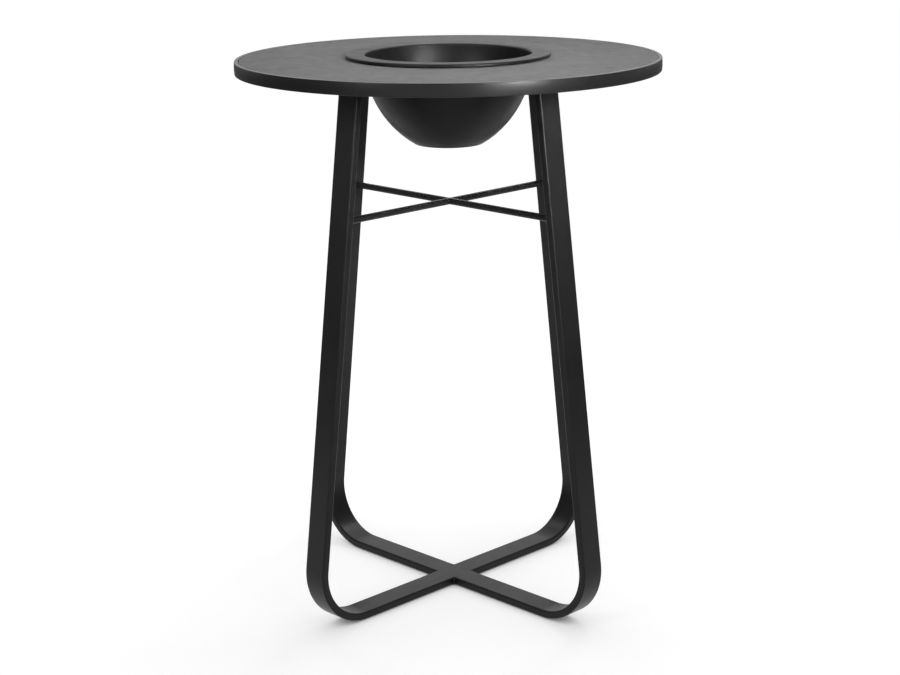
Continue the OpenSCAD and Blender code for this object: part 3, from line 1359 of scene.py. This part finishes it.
@dataclass
class IceBucket:
    """The spun bucket and the rubber ring under its flange.

    Attributes:
        mouth: Outer radius of the bowl at its mouth.
        foot: Radius of the flat base.
        sheet: Thickness of the sheet.
        lip: Outer radius of the bend from the flange into the bowl.
        skirt: Outer radius of the bend from the flange into the skirt.
        skirt_gap: Gap between the skirt and the table top.
        hem: Radius of the skirt's lower edges.
        foot_round: Outer radius of the bend from the bowl into the base.
        foot_points: Points of the bowl's curve that this bend takes the place of.
        inner_steps: Flats in the inner rounds of the flange.
        bowl_steps: Flats in the bowl's curve.
        segments: Flats round the bucket.
        seal_width: Width of the rubber ring.
        seal_edge: Radius of its edges.
        groove: Depth of its grooves, and half their width.
        groove_rounds: Radius of the edges of a groove and of its bottom.
        groove_shares: Where the grooves are, as shares of its width.
    """

    mouth: float = 0.159
    foot: float = 0.064
    sheet: float = 0.0025
    lip: float = 0.004
    skirt: float = 0.0026
    skirt_gap: float = 0.0015
    hem: float = 0.0008
    foot_round: float = 0.012
    foot_points: int = 3
    inner_steps: int = 4
    bowl_steps: int = 40
    segments: int = 256
    seal_width: float = 0.008
    seal_edge: float = 0.9 * MM
    groove: float = 0.9 * MM
    groove_rounds: tuple[float, float] = (0.2 * MM, 0.3 * MM)
    groove_shares: tuple[float, float] = (0.35, 0.65)

    def bowl(self, room: Room, inwards: float) -> Outline:
        """Draws the curve of the bowl.

        Args:
            room: Box of the bucket.
            inwards: Distance inside the bowl's outer face.

        Returns:
            Points from the edge of the base to the lip, without those two ends.
        """
        top, base = room.high.z - self.lip, room.low.z + inwards
        drop = self.mouth - self.foot
        radius = (drop ** 2 + (top - room.low.z) ** 2) / (2 * drop)
        centre = Vector((self.mouth - radius, top))
        radius -= inwards
        start = math.asin((base - top) / radius)
        return [point + centre for point in arc_points(radius, start, 0, self.bowl_steps)]

    def bucket(self) -> Shape:
        """Makes the bucket from its section.

        Returns:
            Its shape.
        """
        room = Room.of("ice_bucket")
        outside, inside = self.bowl(room, 0.0), self.bowl(room, self.sheet)
        under, inner = room.high.z - self.sheet, room.radius - self.sheet
        hem = Room.of("panel").high.z + self.skirt_gap
        return Shape.lathed(rounded([
            Corner(0, room.low.z), Corner(*outside[0], self.foot_round, WIDE_ROUND),
            *(Corner(*point) for point in outside[self.foot_points:]),
            Corner(self.mouth, under, self.lip - self.sheet, self.inner_steps),
            Corner(inner, under, self.skirt - self.sheet, self.inner_steps),
            Corner(inner, hem, self.hem, SMALL_ROUND), Corner(room.radius, hem, self.hem, SMALL_ROUND),
            Corner(room.radius, room.high.z, self.skirt, WIDE_ROUND),
            Corner(self.mouth - self.sheet, room.high.z, self.lip, WIDE_ROUND),
            *(Corner(*point) for point in reversed(inside[self.foot_points:-1])),
            Corner(*inside[0], self.foot_round - self.sheet, WIDE_ROUND), Corner(0, inside[0].y),
        ]), self.segments)

    def seal(self) -> Shape:
        """Makes the rubber ring, with two grooves in its underside.

        Returns:
            Its shape.
        """
        room = Room.of("seal_ring")
        low, high, inside = room.low.z, room.high.z, room.radius - self.seal_width
        edge, bottom = self.groove_rounds
        corners = [Corner(inside, high, self.seal_edge), Corner(inside, low, self.seal_edge)]
        for share in self.groove_shares:
            middle = inside + self.seal_width * share
            corners += [Corner(middle - self.groove, low, edge, TINY_ROUND),
                        Corner(middle, low + self.groove, bottom, SMALL_ROUND),
                        Corner(middle + self.groove, low, edge, TINY_ROUND)]
        corners += [Corner(room.radius, low, self.seal_edge), Corner(room.radius, high, self.seal_edge)]
        return Shape.lathed(rounded(corners), self.segments)

    def build(self) -> None:
        """Makes and dresses the bucket and its ring."""
        dress(self.bucket(), "coated_ice_bucket", BUCKET_COAT, "ice_bucket", body=Body.BUCKET)
        dress(self.seal(), "rubber_seal_ring", RUBBER, "seal_ring", body=Body.BUCKET)


# Studio


@dataclass(frozen=True)
class Viewpoint:
    """Where the camera stands.

    Attributes:
        lens: Focal length in millimetres on a sensor as wide as the next value.
        sensor: Width of the sensor in millimetres.
        nearest: Distance at which the view starts.
        distance: Distance from the middle of the table, level.
        side: Distance to the side.
        height: Height above the floor.
        azimuth: Direction, in degrees.
        pitch: How far it looks down, in radians.
        roll: Roll, in radians.
    """

    lens: float = 74.008
    sensor: float = 36.0
    nearest: float = 0.05
    distance: float = 3.48710
    side: float = -0.00255
    height: float = 1.43937
    azimuth: float = 45.158
    pitch: float = 0.261930
    roll: float = -0.011711

    def build(self) -> None:
        """Makes the camera and gives it to the scene."""
        data = bpy.data.cameras.new("studio_camera")
        data.lens, data.sensor_width, data.clip_start = self.lens, self.sensor, self.nearest
        turn = Matrix.Rotation(math.radians(self.azimuth), 4, "Z")
        tilt = Matrix.Rotation(math.pi / 2 - self.pitch, 4, "X") @ Matrix.Rotation(self.roll, 4, "Z")
        camera = linked("studio_camera", data)
        camera.matrix_world = turn @ Matrix.Translation((self.side, -self.distance, self.height)) @ tilt
        bpy.context.scene.camera = camera


@dataclass(frozen=True)
class Softbox:
    """An area lamp.

    Attributes:
        name: Its name.
        place: Where it stands.
        target: What it points at.
        size: Its width and height.
        power: Its power in watts.
        spread: How wide its beam is, in degrees.
    """

    name: str
    place: tuple[float, float, float]
    target: tuple[float, float, float]
    size: tuple[float, float]
    power: float
    spread: float = 180.0

    def build(self) -> None:
        """Makes the lamp."""
        data = bpy.data.lights.new(self.name, "AREA")
        data.shape = "RECTANGLE"
        data.size, data.size_y = self.size
        data.energy = self.power
        data.spread = math.radians(self.spread)
        lamp = linked(self.name, data)
        lamp.location = self.place
        lamp.rotation_euler = (Vector(self.target) - Vector(self.place)).to_track_quat("-Z", "Y").to_euler()


@dataclass
class Studio:
    """Pale floor, white surroundings, soft lamps and the camera.

    Attributes:
        view: The camera.
        lamps: The lamps.
        ambient: Strength of the surroundings as they light the object.
        floor_half: Half the side of the floor.
        floor_tone: Colour of the floor where lamps light it.
        floor_glow: Strength that the floor shows by itself to the camera.
        shade_reach: How far what stands on the floor shades it.
        shade_samples: Rays that look for what shades it.
        contact: Openness below which the contact shadow starts.
        wide_share: Share of the glow that only the wide faint shade takes.
        wide_power: How fast that wide shade deepens.
        backdrop: Direction in which the white backdrop stands.
        across: Direction across the white paper on the floor.
        backdrop_fade: Where the backdrop ends and is full in a reflection, as parts of its direction.
        roll_fade: How far across the paper it ends and is full in a reflection.
    """

    view: Viewpoint = Viewpoint()
    lamps: tuple[Softbox, ...] = (
        Softbox("overhead_softbox", (0.2, 0.2, 3.0), (0, 0, 1.0), (2.0, 2.0), 14.0),
        Softbox("back_softbox", (-0.75, 1.85, 2.6), (0, 0, 0.9), (1.6, 1.2), 8.0),
        Softbox("key_softbox", (1.97, -0.35, 1.42), (0, 0, 1.03), (0.5, 0.5), 3.9, 35.0),
        Softbox("high_key_softbox", (1.5, -0.55, 1.6), (0, 0, 1.0), (0.9, 0.5), 2.0, 60.0),
        Softbox("fill_softbox", (0.24, -1.99, 1.5), (0, 0, 1.03), (0.5, 0.5), 0.25, 50.0),
        Softbox("high_fill_softbox", (0.22, -1.58, 1.6), (0, 0, 0.9), (0.4, 0.5), 1.7, 60.0),
        Softbox("side_softbox", (2.82, -1.03, 0.7), (0, 0, 0.5), (0.4, 1.0), 0.8, 60.0),
        Softbox("rear_key_softbox", (-1.59, 0.2, 2.6), (0, 0, 0.8), (0.5, 0.5), 1.0, 60.0),
        Softbox("rear_fill_softbox", (-0.2, 1.59, 2.6), (0, 0, 0.8), (0.5, 0.5), 1.4, 60.0),
    )
    ambient: float = 0.35
    floor_half: float = 30.0
    floor_tone: float = 0.4
    floor_glow: float = 0.87
    shade_reach: float = 1.3
    shade_samples: int = 6
    contact: float = 0.45
    wide_share: float = 0.29
    wide_power: float = 6.0
    backdrop: tuple[float, float, float] = (-0.7071, 0.7071, 0.0)
    across: tuple[float, float, float] = (0.7071, 0.7071, 0.0)
    backdrop_fade: tuple[float, float] = (0.2, 0.7)
    roll_fade: tuple[float, float] = (3.0, 1.9)

    @staticmethod
    def seen(sheet: NodeSheet, place: str, axis: tuple[float, ...], fade: tuple[float, float]) -> Source:
        """Adds nodes that give 1 to the camera, and to a reflection or glass where the white paper is.

        Args:
            sheet: Where the nodes go.
            place: Coordinates that say where the ray ends.
            axis: Direction along which the paper ends.
            fade: How far along it the paper ends, and where it is full. It ends on both sides of the
                middle where the second is less than the first.

        Returns:
            The socket with the share of white.
        """
        ends, full = fade
        along = sheet.add("VectorMath", {0: sheet.places[place], 1: axis}, "Value", operation="DOT_PRODUCT")
        if full < ends:
            along = sheet.calculate("ABSOLUTE", along)
        inputs = dict(enumerate((along, ends, full, 0, 1)))
        paper = sheet.add("MapRange", inputs, interpolation_type="SMOOTHSTEP")
        camera, glossy, through = (
            sheet.add("LightPath", output=f"Is {ray} Ray") for ray in ("Camera", "Glossy", "Transmission")
        )
        share = sheet.calculate("MULTIPLY", sheet.calculate("MAXIMUM", glossy, through), paper)
        return sheet.calculate("MAXIMUM", camera, share)

    def surroundings(self) -> None:
        """Makes the world: white where it is seen, dimmer where it lights the object."""
        world = bpy.data.worlds.new("white_surroundings")
        bpy.context.scene.world = world
        sheet = NodeSheet(world)
        light, white = (
            sheet.add("Background", {"Color": (1, 1, 1), "Strength": strength})
            for strength in (self.ambient, 1.0)
        )
        share = self.seen(sheet, "Generated", self.backdrop, self.backdrop_fade)
        sheet.show(sheet.add("MixShader", {0: share, 1: light, 2: white}))

    def floor(self) -> None:
        """Makes the floor: pale, with the object's soft shadow, and clear when seen from below."""
        half = self.floor_half
        data = bpy.data.meshes.new("studio_floor")
        corners = [(-half, -half, 0), (half, -half, 0), (half, half, 0), (-half, half, 0)]
        data.from_pydata(corners, [], [range(len(corners))])
        linked("studio_floor", data)
        material = bpy.data.materials.new("pale_floor")
        data.materials.append(material)
        sheet = NodeSheet(material)
        lit = sheet.add("BsdfDiffuse", {"Color": (self.floor_tone,) * 3})
        reach = {"Distance": self.shade_reach}
        openness = sheet.add("AmbientOcclusion", reach, "AO", samples=self.shade_samples)
        near = sheet.levels(openness, 0, 1 - self.wide_share, 0, self.contact)
        wide = sheet.calculate("POWER", openness, self.wide_power)
        shade = sheet.calculate("MULTIPLY_ADD", wide, self.wide_share, near)
        dark, glow = (
            sheet.add("Emission", {"Strength": strength})
            for strength in (0.0, sheet.calculate("MULTIPLY", shade, self.floor_glow))
        )
        share = self.seen(sheet, "Object", self.across, self.roll_fade)
        total = sheet.add("AddShader", {0: lit, 1: sheet.add("MixShader", {0: share, 1: dark, 2: glow})})
        below, clear = sheet.add("NewGeometry", output="Backfacing"), sheet.add("BsdfTransparent")
        sheet.show(sheet.add("MixShader", {0: below, 1: total, 2: clear}))

    def build(self) -> None:
        """Makes the camera, the surroundings, the floor and the lamps."""
        self.view.build()
        bpy.context.scene.view_settings.view_transform = "Standard"
        self.surroundings()
        self.floor()
        for lamp in self.lamps:
            lamp.build()
        log.info("studio: %d lamps", len(self.lamps))


def main() -> None:
    """Builds the studio and then the table, one sub-assembly after another."""
    logging.basicConfig(level=logging.INFO, format="%(name)s: %(message)s")
    Studio().build()
    legs = LegFrames()
    for part in (TableTop(), Carrier(), legs, Braces(legs), Glides(), Fasteners(), IceBucket()):
        log.info("building %s", type(part).__name__)
        part.build()


if __name__ == "__main__":
    main()
